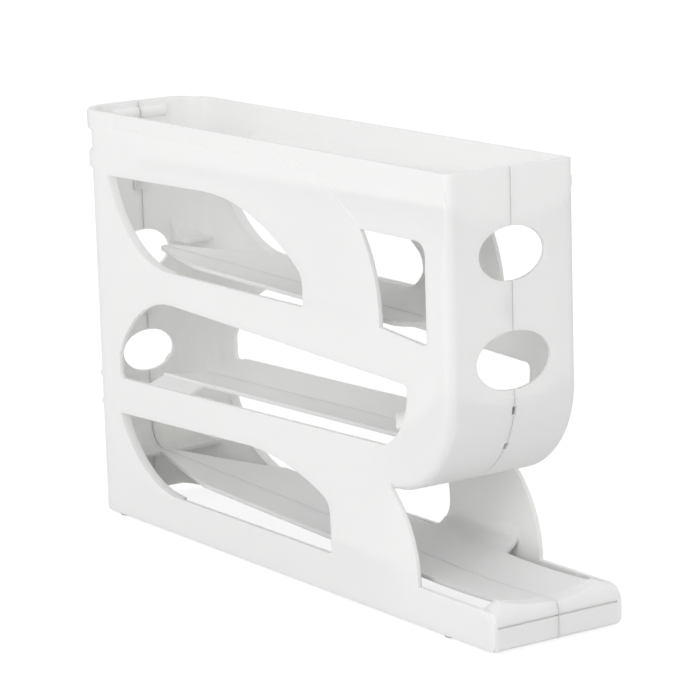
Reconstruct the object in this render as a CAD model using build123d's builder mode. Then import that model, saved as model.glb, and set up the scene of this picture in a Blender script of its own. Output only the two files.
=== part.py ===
from build123d import *
from math import acos, asin, atan2, cos, degrees, pi, radians, sin
import os

os.makedirs("parts", exist_ok=True)

# Rolling egg dispenser: two mirror-image moulded halves joined on the centre plane.
# X runs forward to the dispensing tray, Y is across, Z is up. All sizes in millimetres.
# Profile sizes "x" are taken from the outer face of the rear wall, "z" from the base plane.

# Overall body
body_height = 210.0
body_width = 72.0
body_length = 320.0
nose_reach = 29.0
nose_x = body_length + nose_reach
wall = 2.2
rear_plan_radius = 20.0
front_plan_radius = 4.5
base_corner_radius = 8.0
seam_gap = 0.3
seam_chamfer = 0.4

# Rounded lower front of the body, neck and tray bars
belly_radius = 47.5
belly_z = 107.5
belly_return = 6.0
neck_foot_x = 292.0
bar_height = 18.0
nose_top_radius = 8.0
nose_base_radius = 4.0

# Rolling floors
floor_thickness = 2.0
floor_half_width = 25.0
floor_dish = 3.0
chute_x = 58.0
tray_depth = 22.5
tray_fall = 5.0
tray_floor_front_z = body_height - tray_depth
tray_floor_rear_z = tray_floor_front_z - tray_fall
upper_floor_rear_z = 136.8
upper_floor_front_z = 132.2
upper_floor_end_x = 263.0
middle_floor_rear_z = 75.3
middle_floor_front_z = 80.1
middle_floor_bend_x = 262.0
middle_ramp_top_z = 107.0
lower_floor_rear_z = 26.1
lower_floor_front_z = 16.9
lower_floor_bend_x = 288.0
tray_lip_z = 17.6

# Rear ledges and the openings beside the floors
ledge_depth = 17.0
ledge_fillet = 12.0
neck_half_width = 3.0
full_width_x = 93.0
slot_corner_radius = 4.0
upper_slot_end_x = 206.0
middle_slot_start_x = 96.0
middle_wing_drop = 1.9
middle_wing_root = 1.0
middle_slot_end_x = 275.0
lower_slot_end_x = 222.0
exit_slot_start_x = 276.0
tongue_tip_x = 23.0

# Windows in the side panels
leaf_radius = 59.0
leaf_centre_x = 85.5
upper_leaf_z = 193.8
upper_leaf_top_z = 178.0
upper_leaf_top_front_z = 180.0
upper_leaf_turn_x = 119.0
upper_leaf_shoulder_z = 150.0
upper_leaf_front_x = 205.5
lower_leaf_z = 78.0
lower_leaf_top_z = 54.5
lower_leaf_top_front_z = 59.0
lower_leaf_turn_x = 150.0
lower_leaf_shoulder_z = 44.0
lower_leaf_front_x = 223.0
leaf_shoulder_radius = 9.0
leaf_corner_radius = 2.5
middle_arc_radius = 58.0
middle_left_x = 33.0
middle_base_rear_z = 73.0
middle_base_front_z = 80.0
middle_right_x = 287.0
middle_right_arc_x = 268.0
middle_top_rear_z = 118.5
middle_top_front_z = 111.0
right_window_left_x = 253.5
right_window_right_x = 303.5
right_window_top_z = 178.0
right_window_base_rear_z = 134.5
right_window_base_front_z = 131.0
right_window_corner = 7.0
right_window_lean = 13.5
right_window_bow_x = 9.5
right_window_bow_drop = 18.0
window_rim_width = 2.0
window_rim_depth = 2.8

# Finger holes on the seam, full width and height of each oval
rear_hole_width = 31.0
rear_hole_height = 22.0
rear_upper_hole_z = 131.5
rear_middle_hole_z = 78.0
front_upper_hole_width = 37.0
front_upper_hole_height = 25.0
front_upper_hole_z = 171.0
front_lower_hole_width = 42.0
front_lower_hole_height = 27.0
front_lower_hole_z = 122.5

# Rear rim, ridge and beads
rim_height = 10.0
rim_base_z = body_height - rim_height
rim_proud = 3.5
ridge_drop = 21.0
ridge_height = 9.0
ridge_top_z = body_height - ridge_drop
ridge_base_z = ridge_top_z - ridge_height
ridge_proud = 3.0
bead_height = 3.0
bead_proud = 1.5
upper_bead_z = 72.0
lower_bead_z = 57.0
inner_bead_drop = 6.0
inner_bead_z = body_height - inner_bead_drop
inner_bead_height = 6.0
inner_bead_proud = 2.0
edge_round = 0.8

# Shallow step that leaves the S-shaped band standing proud of the panel
step_depth = 0.6
step_band_drop = 7.5
step_band_z = body_height - step_band_drop
step_fade_z = 166.0
step_rear_x = 36.0
step_turn_x = 188.0
step_run_out = 8.0
step_full_drop = 24.0
step_full_z = body_height - step_full_drop

# Tray lip
lip_depth = 9.0
lip_start_x = nose_x - lip_depth
lip_root = 2.0
lip_step = 0.3
lip_dish_half_width = 27.0
lip_end_z = 17.6
lip_groove_z = 11.0
lip_groove_depth = 1.2
lip_groove_height = 1.0
lip_wall = 2.4
lip_top_radius = 8.6
lip_under_z = 14.6

# Lap tabs that line the halves up, carried by the left half
tab_width = 14.0
tab_reach = 5.0
tab_root = 6.0
tab_thickness = 1.2
tab_clearance = 0.3
rear_tab_low_z = 50.0
rear_tab_middle_z = 105.0
rear_tab_high_z = 171.0
front_tab_z = 147.0
floor_tab_x = 160.0
snap_slot_height = 4.0
snap_slot_half_width = 1.2
snap_slot_upper_turn = 10.0
snap_slot_lower_turn = 33.0

# Soft feet
foot_diameter = 8.0
foot_proud = 1.2
foot_stem_diameter = 4.0
foot_stem_length = 3.0
foot_hole_clearance = 0.2
boss_diameter = 9.0
boss_height = 6.0
foot_inset = 4.6
rear_foot_x = 27.0
front_foot_x = 312.0

# Derived places
half_width = body_width / 2
seam_y = seam_gap / 2
x_middle = (nose_x - rim_proud) / 2
inner_y = half_width - wall
inner_front_x = body_length - wall
belly_x = body_length - belly_radius
belly_base_z = belly_z - belly_radius
foot_y = half_width - foot_inset


def side(y):
    """Plane across the part at y, with local x forward and local y up."""
    return Plane(origin=(-x_middle, y, foot_proud), x_dir=(1, 0, 0), z_dir=(0, -1, 0))


def level(z):
    """Horizontal plane at height z, with local x forward and local y across."""
    return Plane(origin=(-x_middle, 0, foot_proud + z), x_dir=(1, 0, 0), z_dir=(0, 0, 1))


def facing(x):
    """Plane square to the length at x, with local x across and local y up."""
    return Plane(origin=(x - x_middle, 0, foot_proud), x_dir=(0, 1, 0), z_dir=(1, 0, 0))


def circle_rear(centre, radius, z):
    """Rear point of a circle at height z."""
    return (centre[0] - (radius**2 - (z - centre[1])**2)**0.5, z)


def circle_point(centre, radius, angle):
    """Point of a circle at an angle in degrees from +x."""
    turn = radians(angle)
    return (centre[0] + radius * cos(turn), centre[1] + radius * sin(turn))


def smooth_mid(start, end, slope):
    """Middle point of the arc that leaves start at a slope and runs to end."""
    chord = atan2(end[1] - start[1], end[0] - start[0])
    half_turn = chord - atan2(slope, 1)
    reach = ((end[0] - start[0])**2 + (end[1] - start[1])**2)**0.5 / 2 / cos(half_turn / 2)
    heading = chord - half_turn / 2
    return (start[0] + reach * cos(heading), start[1] + reach * sin(heading))


# Side outline of the body, neck and tray bar
neck_run = neck_foot_x - belly_x
neck_rise = belly_base_z - bar_height
neck_radius = (neck_run**2 + neck_rise**2) / (2 * neck_run)
neck_turn = degrees(asin(neck_rise / neck_radius))
neck_mid = (
    neck_foot_x - neck_radius + neck_radius * cos(radians(neck_turn / 2)),
    bar_height + neck_radius * sin(radians(neck_turn / 2)),
)
belly_mid = (
    belly_x + belly_radius * cos(pi / 4),
    belly_z - belly_radius * sin(pi / 4),
)

with BuildSketch(side(0)) as body_outline:
    with BuildLine():
        Polyline(
            (belly_x, belly_base_z),
            (0, belly_base_z),
            (0, body_height),
            (body_length, body_height),
            (body_length, belly_z),
        )
        ThreePointArc((body_length, belly_z), belly_mid, (belly_x, belly_base_z))
    make_face()

with BuildSketch(side(0)) as base_outline:
    with BuildLine():
        Polyline(
            (belly_x, belly_base_z),
            (0, belly_base_z),
            (0, 0),
            (nose_x, 0),
            (nose_x, bar_height),
            (neck_foot_x, bar_height),
        )
        ThreePointArc((neck_foot_x, bar_height), neck_mid, (belly_x, belly_base_z))
    make_face()
    fillet(base_outline.vertices().group_by(Axis.X)[0].sort_by(Axis.Y)[0], base_corner_radius)
    fillet(base_outline.vertices().group_by(Axis.X)[-1].sort_by(Axis.Y)[1], nose_top_radius)
    fillet(base_outline.vertices().group_by(Axis.X)[-1].sort_by(Axis.Y)[0], nose_base_radius)

# Plan of the whole part, with the rear corners rounded
with BuildPart() as plan_block:
    with BuildSketch(level(-1)) as plan:
        with Locations(((nose_x + 10) / 2, 0)):
            Rectangle(nose_x + 10, body_width)
        fillet(plan.vertices().group_by(Axis.X)[0], rear_plan_radius)
    extrude(amount=body_height + 2)

# Solid blocks of one half, on the side of negative Y: the body above and the base below
with BuildPart() as body_block:
    extrude(body_outline.sketch, amount=half_width)
    front_edges = (
        body_block.edges()
        .filter_by(lambda e: abs(e.center().Y + half_width) < 0.01)
        .filter_by(lambda e: e.center().X > belly_x - x_middle + 1)
        .filter_by(lambda e: e.center().Z < body_height + foot_proud - 1)
    )
    fillet(front_edges, front_plan_radius)
    with BuildSketch(side(0)):
        with Locations((belly_x / 2, belly_base_z + front_plan_radius)):
            Rectangle(belly_x, 2 * front_plan_radius)
    extrude(amount=half_width)
    add(plan_block.part, mode=Mode.INTERSECT)

with BuildPart() as base_block:
    extrude(base_outline.sketch, amount=half_width)
    add(plan_block.part, mode=Mode.INTERSECT)

with BuildPart() as envelope:
    add(body_block.part)
    add(base_block.part)

# Space inside one half, in the body and in the base
with BuildPart() as body_hollow:
    with BuildSketch(side(0)):
        with BuildLine():
            Polyline(
                (belly_x, belly_base_z + wall),
                (belly_x - belly_return, belly_base_z + wall),
                (belly_x - belly_return, belly_base_z - 5),
                (wall, belly_base_z - 5),
                (wall, body_height + 5),
                (inner_front_x, body_height + 5),
                (inner_front_x, belly_z),
            )
            ThreePointArc(
                (inner_front_x, belly_z),
                (
                    belly_x + (belly_radius - wall) * cos(pi / 4),
                    belly_z - (belly_radius - wall) * sin(pi / 4),
                ),
                (belly_x, belly_base_z + wall),
            )
        make_face()
    extrude(amount=inner_y)
    rear_edge = (
        body_hollow.edges()
        .filter_by(Axis.Z)
        .filter_by(lambda e: abs(e.center().Y + inner_y) < 0.01)
        .sort_by(Axis.X)[0]
    )
    fillet(rear_edge, rear_plan_radius - wall)

with BuildPart() as base_hollow:
    with BuildSketch(level(-5)) as base_plan:
        with Locations(((nose_x + wall + 5) / 2, 0)):
            Rectangle(nose_x - wall + 5, 2 * inner_y)
        fillet(base_plan.vertices().group_by(Axis.X)[0], rear_plan_radius - wall)
    extrude(amount=belly_base_z + 10)

# Half section of a rolling floor: a shallow dish with a rounded rise to the panel
dish_radius = (floor_half_width**2 + floor_dish**2) / (2 * floor_dish)
dish_turn = degrees(asin(floor_half_width / dish_radius))
rise_radius = (inner_y - floor_half_width) / (1 - sin(radians(dish_turn)))
rise_height = rise_radius * cos(radians(dish_turn))
dish_centre = (0, dish_radius)
rise_centre = (rise_radius - inner_y, floor_dish + rise_height)


def rolling_floor(path):
    """Floor of one half, with the centre line of its top surface along the path."""
    under_dish = dish_radius + floor_thickness
    under_rise = rise_radius + floor_thickness
    dish_end = 270 - dish_turn
    dish_mid = 270 - dish_turn / 2
    rise_mid = (dish_end + 180) / 2
    start = Plane(origin=path @ 0, x_dir=(0, 1, 0), z_dir=path % 0)
    with BuildPart() as floor:
        with BuildSketch(start):
            with BuildLine():
                ThreePointArc(
                    (0, 0),
                    circle_point(dish_centre, dish_radius, dish_mid),
                    circle_point(dish_centre, dish_radius, dish_end),
                )
                ThreePointArc(
                    circle_point(rise_centre, rise_radius, dish_end),
                    circle_point(rise_centre, rise_radius, rise_mid),
                    circle_point(rise_centre, rise_radius, 180),
                )
                Line(
                    circle_point(rise_centre, rise_radius, 180),
                    circle_point(rise_centre, under_rise, 180),
                )
                ThreePointArc(
                    circle_point(rise_centre, under_rise, 180),
                    circle_point(rise_centre, under_rise, rise_mid),
                    circle_point(rise_centre, under_rise, dish_end),
                )
                ThreePointArc(
                    circle_point(dish_centre, under_dish, dish_end),
                    circle_point(dish_centre, under_dish, dish_mid),
                    (0, -floor_thickness),
                )
                Line((0, -floor_thickness), (0, 0))
            make_face()
        sweep(path=path)
    return floor.part


wall_middle_x = body_length - wall / 2

with BuildLine(side(0)) as tray_path:
    Line((chute_x, tray_floor_rear_z), (wall_middle_x, tray_floor_front_z))

with BuildLine(side(0)) as upper_path:
    Line((tongue_tip_x - 2, upper_floor_rear_z), (upper_floor_end_x, upper_floor_front_z))

middle_start = (chute_x, middle_floor_rear_z)
middle_bend = (middle_floor_bend_x, middle_floor_front_z)
middle_end = (wall_middle_x, middle_ramp_top_z)
middle_slope = (middle_bend[1] - middle_start[1]) / (middle_bend[0] - middle_start[0])
with BuildLine(side(0)) as middle_path:
    level_run = Line(middle_start, middle_bend)
    ThreePointArc(middle_bend, smooth_mid(middle_bend, middle_end, middle_slope), middle_end)

lower_start = (ledge_depth - 1, lower_floor_rear_z)
lower_bend = (lower_floor_bend_x, lower_floor_front_z)
lower_end = (lip_start_x, tray_lip_z)
lower_slope = (lower_bend[1] - lower_start[1]) / (lower_bend[0] - lower_start[0])
with BuildLine(side(0)) as lower_path:
    lower_run = Line(lower_start, lower_bend)
    ThreePointArc(lower_bend, smooth_mid(lower_bend, lower_end, lower_slope), lower_end)

tray_floor = rolling_floor(tray_path.line)
upper_floor = rolling_floor(upper_path.line)
middle_floor = rolling_floor(middle_path.line)
lower_floor = rolling_floor(lower_path.line)


def leaf_window(centre_z, top_z, top_front_z, turn_x, shoulder_z, front_x):
    """Leaf-shaped window whose rear edge follows the path of an egg down the rear."""
    centre = (leaf_centre_x, centre_z)
    base_z = centre_z - leaf_radius
    rear_top = circle_rear(centre, leaf_radius, top_z)
    sweep_start = degrees(atan2(top_z - centre_z, rear_top[0] - leaf_centre_x)) % 360
    rear_mid = circle_point(centre, leaf_radius, (sweep_start + 270) / 2)
    rise = (top_front_z - top_z) / (turn_x - rear_top[0])
    with BuildSketch(side(-inner_y + window_rim_depth)) as window:
        with BuildLine():
            Line(rear_top, (turn_x, top_front_z))
            TangentArc((turn_x, top_front_z), (front_x - 1, shoulder_z), tangent=(1, rise))
            Polyline((front_x - 1, shoulder_z), (front_x, base_z), (leaf_centre_x, base_z))
            ThreePointArc((leaf_centre_x, base_z), rear_mid, rear_top)
        make_face()
        shoulder = window.vertices().sort_by_distance((front_x - 1, shoulder_z))[0]
        fillet(shoulder, leaf_shoulder_radius)
        corner = window.vertices().sort_by_distance((front_x, base_z))[0]
        fillet(corner, leaf_corner_radius)
    return window.sketch


upper_leaf = leaf_window(upper_leaf_z, upper_leaf_top_z, upper_leaf_top_front_z,
                         upper_leaf_turn_x, upper_leaf_shoulder_z, upper_leaf_front_x)
lower_leaf = leaf_window(lower_leaf_z, lower_leaf_top_z, lower_leaf_top_front_z,
                         lower_leaf_turn_x, lower_leaf_shoulder_z, lower_leaf_front_x)

middle_centre = (leaf_centre_x, middle_top_rear_z - middle_arc_radius)
middle_arc_start = 180 - degrees(acos((leaf_centre_x - middle_left_x) / middle_arc_radius))
with BuildSketch(side(-inner_y)) as middle_window:
    with BuildLine():
        Line((middle_left_x, middle_base_rear_z),
             circle_point(middle_centre, middle_arc_radius, middle_arc_start))
        ThreePointArc(
            circle_point(middle_centre, middle_arc_radius, middle_arc_start),
            circle_point(middle_centre, middle_arc_radius, (middle_arc_start + 90) / 2),
            (leaf_centre_x, middle_top_rear_z),
        )
        Line((leaf_centre_x, middle_top_rear_z), (middle_right_x, middle_top_front_z))
        TangentArc((middle_right_x, middle_top_front_z),
                   (middle_right_arc_x, middle_base_front_z), tangent=(0.12, -1))
        Line((middle_right_arc_x, middle_base_front_z), (middle_left_x, middle_base_rear_z))
    make_face()
    fillet(middle_window.vertices().sort_by_distance((middle_left_x, middle_base_rear_z))[0],
           leaf_corner_radius)
    fillet(middle_window.vertices().sort_by_distance((middle_right_x, middle_top_front_z))[0],
           leaf_corner_radius)

band_edge_mid = (right_window_left_x + right_window_bow_x,
                 right_window_top_z - right_window_bow_drop)
band_edge_foot = (right_window_left_x + right_window_lean, right_window_base_rear_z)
with BuildSketch(side(-inner_y)) as right_window:
    with BuildLine():
        ThreePointArc((right_window_left_x, right_window_top_z), band_edge_mid, band_edge_foot)
        Polyline(
            band_edge_foot,
            (right_window_right_x, right_window_base_front_z),
            (right_window_right_x, right_window_top_z),
            (right_window_left_x, right_window_top_z),
        )
    make_face()
    fillet(right_window.vertices().sort_by_distance(
        (right_window_right_x, right_window_top_z))[0], right_window_corner)
    fillet(right_window.vertices().sort_by_distance(
        (right_window_right_x, right_window_base_front_z))[0], leaf_corner_radius)


outer_reach = half_width + 1


def side_opening(points, z_low, z_high, rounded):
    """Upright prism over an outline drawn in plan, with some corners rounded."""
    with BuildPart() as opening:
        with BuildSketch(level(z_low)) as outline:
            with BuildLine():
                Polyline(*points, close=True)
            make_face()
            for corner in rounded:
                fillet(outline.vertices().sort_by_distance(corner)[0], slot_corner_radius)
        extrude(amount=z_high - z_low)
    return opening.part


def tapered_opening(start_points, end_x, z_low, z_high):
    """Opening beside a floor that narrows from the rear ledge to the plain slot."""
    points = start_points + [
        (full_width_x, -floor_half_width),
        (end_x, -floor_half_width),
        (end_x, -outer_reach),
    ]
    rounded = [start_points[-1], (end_x, -floor_half_width)]
    return side_opening(points, z_low, z_high, rounded)


def plain_slot(start_x, end_x, z_low, z_high, rounded):
    points = [
        (start_x, -outer_reach),
        (start_x, -floor_half_width),
        (end_x, -floor_half_width),
        (end_x, -outer_reach),
    ]
    corners = [(x, -floor_half_width) for x in rounded]
    return side_opening(points, z_low, z_high, corners)


floor_top = floor_dish + rise_height + 1
floor_base = floor_thickness + 1
finger_half = rear_hole_width / 2 + 1

upper_openings = [
    tapered_opening(
        [
            (ledge_depth, -outer_reach),
            (ledge_depth, -finger_half),
            (wall, -finger_half),
            (wall, 0),
            (tongue_tip_x, 0),
            (tongue_tip_x, -neck_half_width),
        ],
        upper_slot_end_x,
        upper_floor_front_z - floor_base,
        upper_floor_rear_z + floor_top,
    ),
    plain_slot(right_window_left_x - 3, upper_floor_end_x + 1, upper_floor_front_z - floor_base,
               upper_floor_rear_z + floor_top, [right_window_left_x - 3]),
]
middle_openings = [
    plain_slot(chute_x - 2, middle_slot_end_x, middle_floor_rear_z - floor_base,
               middle_floor_front_z + floor_top + 4, [middle_slot_end_x]),
]
lower_openings = [
    tapered_opening(
        [(ledge_depth - 2, -outer_reach), (ledge_depth - 2, -neck_half_width)],
        lower_slot_end_x,
        lower_floor_front_z - floor_base,
        lower_floor_rear_z + floor_top,
    ),
    plain_slot(exit_slot_start_x, lip_start_x + 2, lower_floor_front_z - floor_base,
               lower_floor_rear_z + floor_top, [exit_slot_start_x]),
]


def rear_ledge(z):
    """Ledge across the rear wall, with its top surface rounded up into the wall."""
    with BuildPart() as ledge:
        with BuildSketch(side(0)):
            with BuildLine():
                ThreePointArc(
                    (wall, z + ledge_fillet),
                    circle_point((wall + ledge_fillet, z + ledge_fillet), ledge_fillet, 225),
                    (wall + ledge_fillet, z),
                )
                Polyline(
                    (wall + ledge_fillet, z),
                    (ledge_depth, z),
                    (ledge_depth, z - floor_thickness),
                    (wall / 2, z - floor_thickness),
                    (wall / 2, z + ledge_fillet),
                    (wall, z + ledge_fillet),
                )
            make_face()
        extrude(amount=half_width)
        add(envelope.part, mode=Mode.INTERSECT)
    return ledge.part


# Rim, ridge and beads that step out round the rear of the body
def rear_band(z_low, z_high, proud):
    with BuildPart() as band:
        with BuildSketch(level(z_low)) as outline:
            with Locations(((rear_plan_radius + wall - proud) / 2, 0)):
                Rectangle(rear_plan_radius + wall + proud, body_width)
            fillet(outline.vertices().group_by(Axis.X)[0], rear_plan_radius)
        extrude(amount=z_high - z_low)
        outer = band.edges().filter_by(lambda e: e.center().X < -x_middle + rear_plan_radius)
        fillet(outer.group_by(Axis.Z)[0] + outer.group_by(Axis.Z)[-1], min(edge_round, proud / 2))
        with BuildSketch(level(z_low - 1)):
            with Locations(((nose_x + wall) / 2 + wall / 2, 0)):
                Rectangle(nose_x, 2 * inner_y)
        extrude(amount=z_high - z_low + 2, mode=Mode.SUBTRACT)
        with BuildSketch(level(z_low - 1)):
            with Locations((0, half_width)):
                Rectangle(2 * nose_x, body_width)
        extrude(amount=z_high - z_low + 2, mode=Mode.SUBTRACT)
    return band.part


# Wing that carries the rear end of the middle floor on the panel, below the window
wing_root_y = floor_half_width - middle_wing_root
wing_root_z = dish_radius - (dish_radius**2 - wing_root_y**2)**0.5
with BuildPart() as middle_wing:
    with BuildSketch(Plane(origin=level_run @ 0, x_dir=(0, 1, 0), z_dir=level_run % 0)):
        with BuildLine():
            Polyline(
                (-wing_root_y, wing_root_z - floor_thickness / 4),
                (-wing_root_y, wing_root_z - floor_thickness * 0.9),
                (-inner_y - wall / 2, -middle_wing_drop - floor_thickness),
                (-inner_y - wall / 2, -middle_wing_drop),
                close=True,
            )
        make_face()
    extrude(amount=middle_slot_start_x - chute_x)

# Rolling floors and ledges of one half, with the openings beside them
with BuildPart() as floors:
    add(upper_floor)
    add(rear_ledge(upper_floor_rear_z))
    for opening in upper_openings:
        add(opening, mode=Mode.SUBTRACT)
    add(middle_floor)
    for opening in middle_openings:
        add(opening, mode=Mode.SUBTRACT)
    add(middle_wing.part)
    add(lower_floor)
    for opening in lower_openings:
        add(opening, mode=Mode.SUBTRACT)
    add(rear_ledge(lower_floor_rear_z))
    add(tray_floor)

# Rounded lip across the front of the dispensing tray
lip_dish_z = tray_lip_z - lip_step
lip_dish_turn = degrees(asin(lip_dish_half_width / dish_radius))
lip_top_z = lip_dish_z + dish_radius * (1 - cos(radians(lip_dish_turn)))
lip_dish_centre = (0, lip_dish_z + dish_radius)
with BuildPart() as lip:
    with BuildSketch(side(0)) as lip_profile:
        with BuildLine():
            Polyline(
                (lip_start_x - lip_root, lip_under_z),
                (lip_start_x - lip_root, lip_top_z),
                (nose_x, lip_top_z),
                (nose_x, 0),
                (nose_x - lip_wall, 0),
                (nose_x - lip_wall, lip_under_z),
                close=True,
            )
        make_face()
        fillet(lip_profile.vertices().sort_by_distance((nose_x, lip_top_z))[0], lip_top_radius)
        fillet(lip_profile.vertices().sort_by_distance((nose_x, 0))[0], lip_wall * 0.8)
        fillet(lip_profile.vertices().sort_by_distance((nose_x - lip_wall, lip_under_z))[0],
               lip_wall)
        with Locations((nose_x, lip_groove_z)):
            Rectangle(2 * lip_groove_depth, lip_groove_height, mode=Mode.SUBTRACT)
    extrude(amount=inner_y + wall / 2)
    with BuildSketch(facing(lip_start_x - 2 * lip_root)):
        with BuildLine():
            ThreePointArc(
                (0, lip_dish_z),
                circle_point(lip_dish_centre, dish_radius, 270 - lip_dish_turn / 2),
                circle_point(lip_dish_centre, dish_radius, 270 - lip_dish_turn),
            )
            Polyline((-lip_dish_half_width, lip_top_z), (-inner_y, lip_end_z),
                     (-half_width - 1, lip_end_z), (-half_width - 1, lip_top_z + 5),
                     (0, lip_top_z + 5), (0, lip_dish_z))
        make_face()
    extrude(amount=nose_x - lip_start_x + 4 * lip_root, mode=Mode.SUBTRACT)

# Shallow step beside the S-shaped band
step_turn = (step_turn_x, step_band_z)
step_meet = (right_window_left_x, right_window_top_z)
with BuildPart() as band_step:
    with BuildSketch(side(-half_width + step_depth)):
        with BuildLine():
            Polyline((step_rear_x, step_band_z), step_turn)
            ThreePointArc(step_turn, smooth_mid(step_turn, step_meet, 0), step_meet)
            Polyline(
                step_meet,
                (right_window_left_x + step_run_out, step_fade_z),
                (body_length + 1, step_fade_z),
                (body_length + 1, body_height + 1),
                (step_rear_x, body_height + 1),
                (step_rear_x, step_band_z),
            )
        make_face()
    extrude(amount=step_depth + 1)
    with BuildSketch(facing(step_rear_x - 1)):
        with BuildLine():
            Polyline(
                (-half_width - 2, step_fade_z - 1),
                (-half_width, step_fade_z),
                (-half_width + step_depth, step_full_z),
                (-half_width + step_depth, body_height + 2),
                (-half_width - 2, body_height + 2),
                close=True,
            )
        make_face()
    extrude(amount=body_length, mode=Mode.INTERSECT)

with BuildPart() as body_shell:
    add(body_block.part)
    add(body_hollow.part, mode=Mode.SUBTRACT)

# One half in full, on the side of negative Y
with BuildPart() as half:
    add(base_block.part)
    add(base_hollow.part, mode=Mode.SUBTRACT)
    add(body_shell.part)
    add(rear_band(rim_base_z, body_height, rim_proud))
    add(rear_band(ridge_base_z, ridge_top_z, ridge_proud))
    for bead_z in (upper_bead_z, lower_bead_z):
        add(rear_band(bead_z - bead_height / 2, bead_z + bead_height / 2, bead_proud))
    with BuildSketch(side(0)):
        with Locations((wall, inner_bead_z)):
            Ellipse(inner_bead_proud, inner_bead_height / 2)
    extrude(amount=half_width - rear_plan_radius)
    add(floors.part)
    add(lip.part)
    for centre_z, top_z in ((upper_leaf_z, upper_leaf_top_z), (lower_leaf_z, lower_leaf_top_z)):
        with BuildSketch(side(-inner_y + window_rim_depth)):
            with Locations((leaf_centre_x, centre_z)):
                Circle(leaf_radius + window_rim_width)
                Circle(leaf_radius - window_rim_width, mode=Mode.SUBTRACT)
            with Locations((leaf_centre_x - leaf_radius, top_z - leaf_radius)):
                Rectangle(2 * leaf_radius, 2 * leaf_radius, mode=Mode.INTERSECT)
        extrude(amount=window_rim_depth + wall / 2)
    for window in (upper_leaf, lower_leaf):
        extrude(window, amount=window_rim_depth + wall + 1, mode=Mode.SUBTRACT)
    for window in (middle_window.sketch, right_window.sketch):
        extrude(window, amount=wall + 1, mode=Mode.SUBTRACT)
    for hole_z, width, height in (
        (rear_upper_hole_z, rear_hole_width, rear_hole_height),
        (rear_middle_hole_z, rear_hole_width, rear_hole_height),
    ):
        with BuildSketch(facing(-rim_proud - 1)):
            with Locations((0, hole_z)):
                Ellipse(width / 2, height / 2)
        extrude(amount=rim_proud + 1 + wall, mode=Mode.SUBTRACT)
    for hole_z, width, height in (
        (front_upper_hole_z, front_upper_hole_width, front_upper_hole_height),
        (front_lower_hole_z, front_lower_hole_width, front_lower_hole_height),
    ):
        with BuildSketch(facing(inner_front_x)):
            with Locations((0, hole_z)):
                Ellipse(width / 2, height / 2)
        extrude(amount=wall + 1, mode=Mode.SUBTRACT)
    add(band_step.part, mode=Mode.SUBTRACT)
    for foot_x in (rear_foot_x, front_foot_x):
        with BuildSketch(level(0)):
            with Locations((foot_x, -foot_y)):
                Circle(boss_diameter / 2)
        extrude(amount=boss_height)
        with BuildSketch(level(0)):
            with Locations((foot_x, -foot_y)):
                Circle((foot_stem_diameter + foot_hole_clearance) / 2)
        extrude(amount=foot_stem_length + foot_hole_clearance, mode=Mode.SUBTRACT)
    for turn in (snap_slot_upper_turn, snap_slot_lower_turn):
        slot_plane = Plane(side(0).from_local_coords(
            circle_point((belly_x, belly_z), belly_radius, -turn)),
            x_dir=(cos(radians(turn)), 0, -sin(radians(turn))), z_dir=(0, -1, 0))
        with BuildSketch(slot_plane):
            Rectangle(2 * (wall + 1), snap_slot_height)
        extrude(amount=snap_slot_half_width, mode=Mode.SUBTRACT)
    with BuildSketch(side(0)):
        with Locations((body_length / 2, body_height / 2)):
            Rectangle(2 * body_length, 2 * body_height)
    extrude(amount=seam_y, mode=Mode.SUBTRACT)
    seam_edges = half.edges().filter_by(
        lambda e: abs(e.center().Y + seam_y) < 0.001
        and abs(e.center().X + x_middle - body_length) < 0.001)
    chamfer(seam_edges, seam_chamfer)

with BuildPart() as right_half_shell:
    add(half.part)


# Lap tabs: each is fixed to the left half and lies along the inner face of the right half
def lap_tab(surface):
    """Tab on a plane that lies on a wall, with local x across the seam to the left."""
    with BuildPart() as tab:
        with BuildSketch(surface.offset(tab_clearance)):
            with Locations(((tab_root - tab_reach) / 2, 0)):
                Rectangle(tab_root + tab_reach, tab_width)
        extrude(amount=tab_thickness)
        with BuildSketch(surface.offset(-wall / 4)):
            with Locations(((seam_y + tab_root) / 2, 0)):
                Rectangle(tab_root - seam_y, tab_width)
        extrude(amount=wall / 4 + tab_clearance + tab_thickness / 2)
    return tab.part


def under(path, x):
    """Plane on the underside of a floor at x, with local x across and z pointing down."""
    start = path @ 0
    slope = path % 0
    along = (x - x_middle - start.X) / slope.X
    point = start + slope * along - Vector(-slope.Z, 0, slope.X) * floor_thickness
    return Plane(origin=point, x_dir=(0, 1, 0), z_dir=(slope.Z, 0, -slope.X))


with BuildPart() as left_half_shell:
    mirror(half.part, about=Plane.XZ)
    for tab_z in (rear_tab_low_z, rear_tab_middle_z, rear_tab_high_z):
        rear_point = side(0).from_local_coords((wall, tab_z))
        add(lap_tab(Plane(rear_point, x_dir=(0, 1, 0), z_dir=(1, 0, 0))))
    front_point = side(0).from_local_coords((inner_front_x, front_tab_z))
    add(lap_tab(Plane(front_point, x_dir=(0, 1, 0), z_dir=(-1, 0, 0))))
    for path in (tray_path.line, upper_path.line, level_run, lower_run):
        add(lap_tab(under(path, floor_tab_x)))

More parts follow.
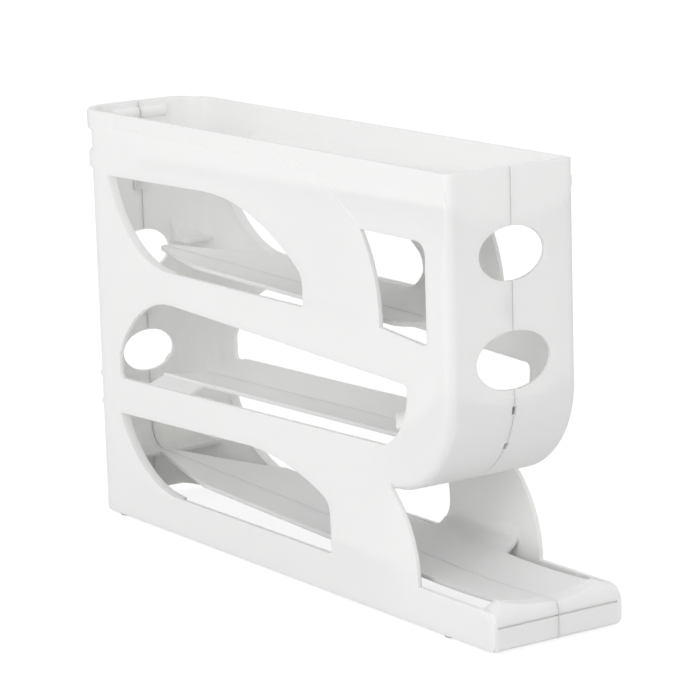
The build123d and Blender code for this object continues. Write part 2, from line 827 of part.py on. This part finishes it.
# Soft feet plugged into the bosses
feet = {
    "foot_pad_rear_right": (rear_foot_x, -foot_y),
    "foot_pad_front_right": (front_foot_x, -foot_y),
    "foot_pad_rear_left": (rear_foot_x, foot_y),
    "foot_pad_front_left": (front_foot_x, foot_y),
}
pads = {}
for name, place in feet.items():
    with BuildPart() as foot_pad:
        with BuildSketch(level(-foot_proud)):
            with Locations(place):
                Circle(foot_diameter / 2)
        extrude(amount=foot_proud)
        fillet(foot_pad.edges().group_by(Axis.Z)[0], foot_proud / 3)
        with BuildSketch(level(0)):
            with Locations(place):
                Circle(foot_stem_diameter / 2)
        extrude(amount=foot_stem_length)
    pads[name] = foot_pad.part

right_half_shell.part.label = "right_half_shell"
export_step(right_half_shell.part, "parts/right_half_shell.step")
left_half_shell.part.label = "left_half_shell"
export_step(left_half_shell.part, "parts/left_half_shell.step")
for name, pad in pads.items():
    pad.label = name
    export_step(pad, "parts/" + name + ".step")
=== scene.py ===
import math

import bmesh
import bpy
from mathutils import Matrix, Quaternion, Vector

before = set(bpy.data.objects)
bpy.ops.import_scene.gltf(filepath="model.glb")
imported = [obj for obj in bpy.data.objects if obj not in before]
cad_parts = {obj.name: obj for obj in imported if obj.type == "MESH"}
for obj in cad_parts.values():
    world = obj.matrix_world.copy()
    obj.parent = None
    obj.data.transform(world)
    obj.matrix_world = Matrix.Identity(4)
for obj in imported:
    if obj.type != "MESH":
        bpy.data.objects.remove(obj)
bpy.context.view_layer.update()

# Viewing angle of the photograph: a long lens, off to the front right and a little above
CAMERA_PLACE = Vector((1.2673, -0.8531, 0.4252))
CAMERA_BACK = Vector((0.80835, -0.55184, 0.20505))
CAMERA_ROLL_DEGREES = -1.734
SENSOR_MM = 36.0
FRAME_PX = 700.0
FOCAL_PX = 3225.7
CLIP_START = 0.05

# Colours, as sRGB hex
WHITE_SHELL = "FAFAF9"
WHITE_SHELL_WARM = "F8F8F6"
FOOT_GREY = "C9C9C6"
FOOT_SHADE = "B9B9B5"
FLOOR_WHITE = "FFFFFF"
FLOOR_BOUNCE = "F4F4F3"
FLOOR_SHADE = "898989"
STUDIO_WHITE = "FFFFFF"

# Brightness: the floor's own share to the camera, and the even light all round
FLOOR_GLOW = 0.85
SURROUND_FILL = 0.70
SURROUND_SEEN = 1.0
FLOOR_HALF_SIZE = 6.0

# Soft boxes: place and size in metres, power in watts
LIGHT_TARGET = (0, 0, 0.1)
KEY_PLACE = (1.2, -2.3, 1.15)
KEY_SIZE = (1.8, 1.4)
KEY_POWER = 20
TOP_PLACE = (0.0, 0.0, 2.4)
TOP_SIZE = (2.2, 2.2)
TOP_POWER = 5

# Moulded shell: noise scales in turns per metre, bump heights and light depths in metres
FLOW_SCALE = 16.0
WAVE_SCALE = 38.0
GRAIN_SCALE = 1250.0
WAVE_HEIGHT = 0.0007
GRAIN_HEIGHT = 0.00010
SHELL_ROUGHNESS = (0.38, 0.50)
SHELL_IOR = 1.49
SHELL_TRANSLUCENCE = 0.7
SHELL_LIGHT_DEPTH = (0.0040, 0.0039, 0.0036)

# Soft feet
FOOT_MOTTLE_SCALE = 420.0
FOOT_SKIN_HEIGHT = 0.00012
FOOT_ROUGHNESS = 0.72
FOOT_IOR = 1.5


def colour(hex_value):
    """Linear colour of an sRGB hex value."""
    parts = [int(hex_value[i:i + 2], 16) / 255 for i in (0, 2, 4)]
    linear = [c / 12.92 if c <= 0.04045 else ((c + 0.055) / 1.055) ** 2.4 for c in parts]
    return (*linear, 1.0)


def add_node(tree, kind, settings=None, **inputs):
    """Adds a node, sets its properties, and links or fills its inputs by name or number."""
    node = tree.nodes.new(kind)
    for name, value in (settings or {}).items():
        setattr(node, name, value)
    for name, value in inputs.items():
        key = int(name[1:]) if name[0] == "_" and name[1:].isdigit() else name.replace("_", " ")
        if isinstance(value, bpy.types.NodeSocket):
            tree.links.new(value, node.inputs[key])
        else:
            node.inputs[key].default_value = value
    return node


def new_material(name):
    """Empty node material: the material, its tree and its output node."""
    material = bpy.data.materials.new(name)
    material.use_nodes = True
    tree = material.node_tree
    tree.nodes.clear()
    output = tree.nodes.new("ShaderNodeOutputMaterial")
    return material, tree, output


def moulded_polypropylene():
    """Injection-moulded white polypropylene: satin, a little waxy, with a fine tool grain
    and the faint unevenness of a thin cooled wall."""
    material, tree, output = new_material("moulded_polypropylene_white")
    place = add_node(tree, "ShaderNodeTexCoord").outputs["Object"]
    # slow change of tone over about 60 mm, as the wall thickness and flow change
    flow = add_node(tree, "ShaderNodeTexNoise", Vector=place, Scale=FLOW_SCALE, Detail=2.0,
                    Roughness=0.4)
    tone = add_node(tree, "ShaderNodeMix", {"data_type": "RGBA"}, Factor=flow.outputs["Fac"],
                    _6=colour(WHITE_SHELL), _7=colour(WHITE_SHELL_WARM))
    # fine spark-eroded tool grain, drawn at about 0.8 mm so that it shows
    grain = add_node(tree, "ShaderNodeTexNoise", Vector=place, Scale=GRAIN_SCALE, Detail=2.0)
    # long, very shallow sink and flow waves
    wave = add_node(tree, "ShaderNodeTexNoise", Vector=place, Scale=WAVE_SCALE, Detail=1.0)
    grain_bump = add_node(tree, "ShaderNodeBump", Strength=0.10, Distance=GRAIN_HEIGHT,
                          Height=grain.outputs["Fac"])
    wave_bump = add_node(tree, "ShaderNodeBump", Strength=0.16, Distance=WAVE_HEIGHT,
                         Height=wave.outputs["Fac"], Normal=grain_bump.outputs["Normal"])
    rough = add_node(tree, "ShaderNodeMapRange", Value=grain.outputs["Fac"],
                     To_Min=SHELL_ROUGHNESS[0], To_Max=SHELL_ROUGHNESS[1])
    shader = add_node(tree, "ShaderNodeBsdfPrincipled", Base_Color=tone.outputs[2],
                      Roughness=rough.outputs["Result"], IOR=SHELL_IOR,
                      Normal=wave_bump.outputs["Normal"])
    shader.inputs["Subsurface Weight"].default_value = SHELL_TRANSLUCENCE
    shader.inputs["Subsurface Radius"].default_value = SHELL_LIGHT_DEPTH
    shader.inputs["Subsurface Scale"].default_value = 1.0
    tree.links.new(shader.outputs["BSDF"], output.inputs["Surface"])
    return material


def soft_elastomer():
    """Soft grey thermoplastic elastomer of the feet: matte, with a dusty moulded skin."""
    material, tree, output = new_material("soft_elastomer_grey")
    place = add_node(tree, "ShaderNodeTexCoord").outputs["Object"]
    mottle = add_node(tree, "ShaderNodeTexNoise", Vector=place, Scale=FOOT_MOTTLE_SCALE, Detail=3.0)
    tone = add_node(tree, "ShaderNodeMix", {"data_type": "RGBA"}, Factor=mottle.outputs["Fac"],
                    _6=colour(FOOT_GREY), _7=colour(FOOT_SHADE))
    skin = add_node(tree, "ShaderNodeBump", Strength=0.25, Distance=FOOT_SKIN_HEIGHT,
                    Height=mottle.outputs["Fac"])
    shader = add_node(tree, "ShaderNodeBsdfPrincipled", Base_Color=tone.outputs[2],
                      Roughness=FOOT_ROUGHNESS, IOR=FOOT_IOR, Normal=skin.outputs["Normal"])
    tree.links.new(shader.outputs["BSDF"], output.inputs["Surface"])
    return material


def studio_floor():
    """Seamless white sweep: white to the camera, with a soft shadow kept round the object."""
    material, tree, output = new_material("studio_sweep_white")
    seen = add_node(tree, "ShaderNodeLightPath").outputs["Is Camera Ray"]
    lit = add_node(tree, "ShaderNodeBsdfDiffuse", Color=colour(FLOOR_BOUNCE))
    shade = add_node(tree, "ShaderNodeBsdfDiffuse", Color=colour(FLOOR_SHADE))
    glow = add_node(tree, "ShaderNodeEmission", Color=colour(FLOOR_WHITE), Strength=FLOOR_GLOW)
    view = add_node(tree, "ShaderNodeAddShader", _0=glow.outputs[0], _1=shade.outputs[0])
    blend = add_node(tree, "ShaderNodeMixShader", _0=seen, _1=lit.outputs[0], _2=view.outputs[0])
    tree.links.new(blend.outputs[0], output.inputs["Surface"])
    return material


shell_finish = moulded_polypropylene()
foot_finish = soft_elastomer()
for name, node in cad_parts.items():
    finish = foot_finish if name.startswith("foot_pad") else shell_finish
    node.data.materials.clear()
    node.data.materials.append(finish)

# Floor
floor_mesh = bpy.data.meshes.new("studio_floor")
floor_shape = bmesh.new()
bmesh.ops.create_grid(floor_shape, x_segments=1, y_segments=1, size=FLOOR_HALF_SIZE)
floor_shape.to_mesh(floor_mesh)
floor_shape.free()
floor = bpy.data.objects.new("studio_floor", floor_mesh)
bpy.context.collection.objects.link(floor)
floor.data.materials.append(studio_floor())

# Even white surroundings
world = bpy.data.worlds.new("studio_surround")
bpy.context.scene.world = world
world.use_nodes = True
world_tree = world.node_tree
world_tree.nodes.clear()
world_out = world_tree.nodes.new("ShaderNodeOutputWorld")
seen = add_node(world_tree, "ShaderNodeLightPath").outputs["Is Camera Ray"]
fill_light = add_node(world_tree, "ShaderNodeBackground", Color=colour(STUDIO_WHITE),
                      Strength=SURROUND_FILL)
seen_light = add_node(world_tree, "ShaderNodeBackground", Color=colour(STUDIO_WHITE),
                      Strength=SURROUND_SEEN)
blend_light = add_node(world_tree, "ShaderNodeMixShader", _0=seen,
                       _1=fill_light.outputs[0], _2=seen_light.outputs[0])
world_tree.links.new(blend_light.outputs[0], world_out.inputs["Surface"])


def soft_box(name, place, size, power):
    """Rectangular soft light, aimed at the object."""
    lamp = bpy.data.lights.new(name, "AREA")
    lamp.shape = "RECTANGLE"
    lamp.size, lamp.size_y = size
    lamp.energy = power
    holder = bpy.data.objects.new(name, lamp)
    holder.location = place
    aim = Vector(LIGHT_TARGET) - Vector(place)
    holder.rotation_euler = aim.to_track_quat("-Z", "Y").to_euler()
    bpy.context.collection.objects.link(holder)


soft_box("side_soft_box", KEY_PLACE, KEY_SIZE, KEY_POWER)
soft_box("top_soft_box", TOP_PLACE, TOP_SIZE, TOP_POWER)

# Camera
camera_data = bpy.data.cameras.new("photo_camera")
camera_data.sensor_fit = "HORIZONTAL"
camera_data.sensor_width = SENSOR_MM
camera_data.lens = FOCAL_PX * SENSOR_MM / FRAME_PX
camera_data.clip_start = CLIP_START
camera = bpy.data.objects.new("photo_camera", camera_data)
camera.location = CAMERA_PLACE
roll = Quaternion((0, 0, 1), math.radians(CAMERA_ROLL_DEGREES))
camera.rotation_euler = (CAMERA_BACK.to_track_quat("Z", "Y") @ roll).to_euler()
bpy.context.collection.objects.link(camera)
bpy.context.scene.camera = camera

bpy.context.scene.view_settings.view_transform = "Standard"
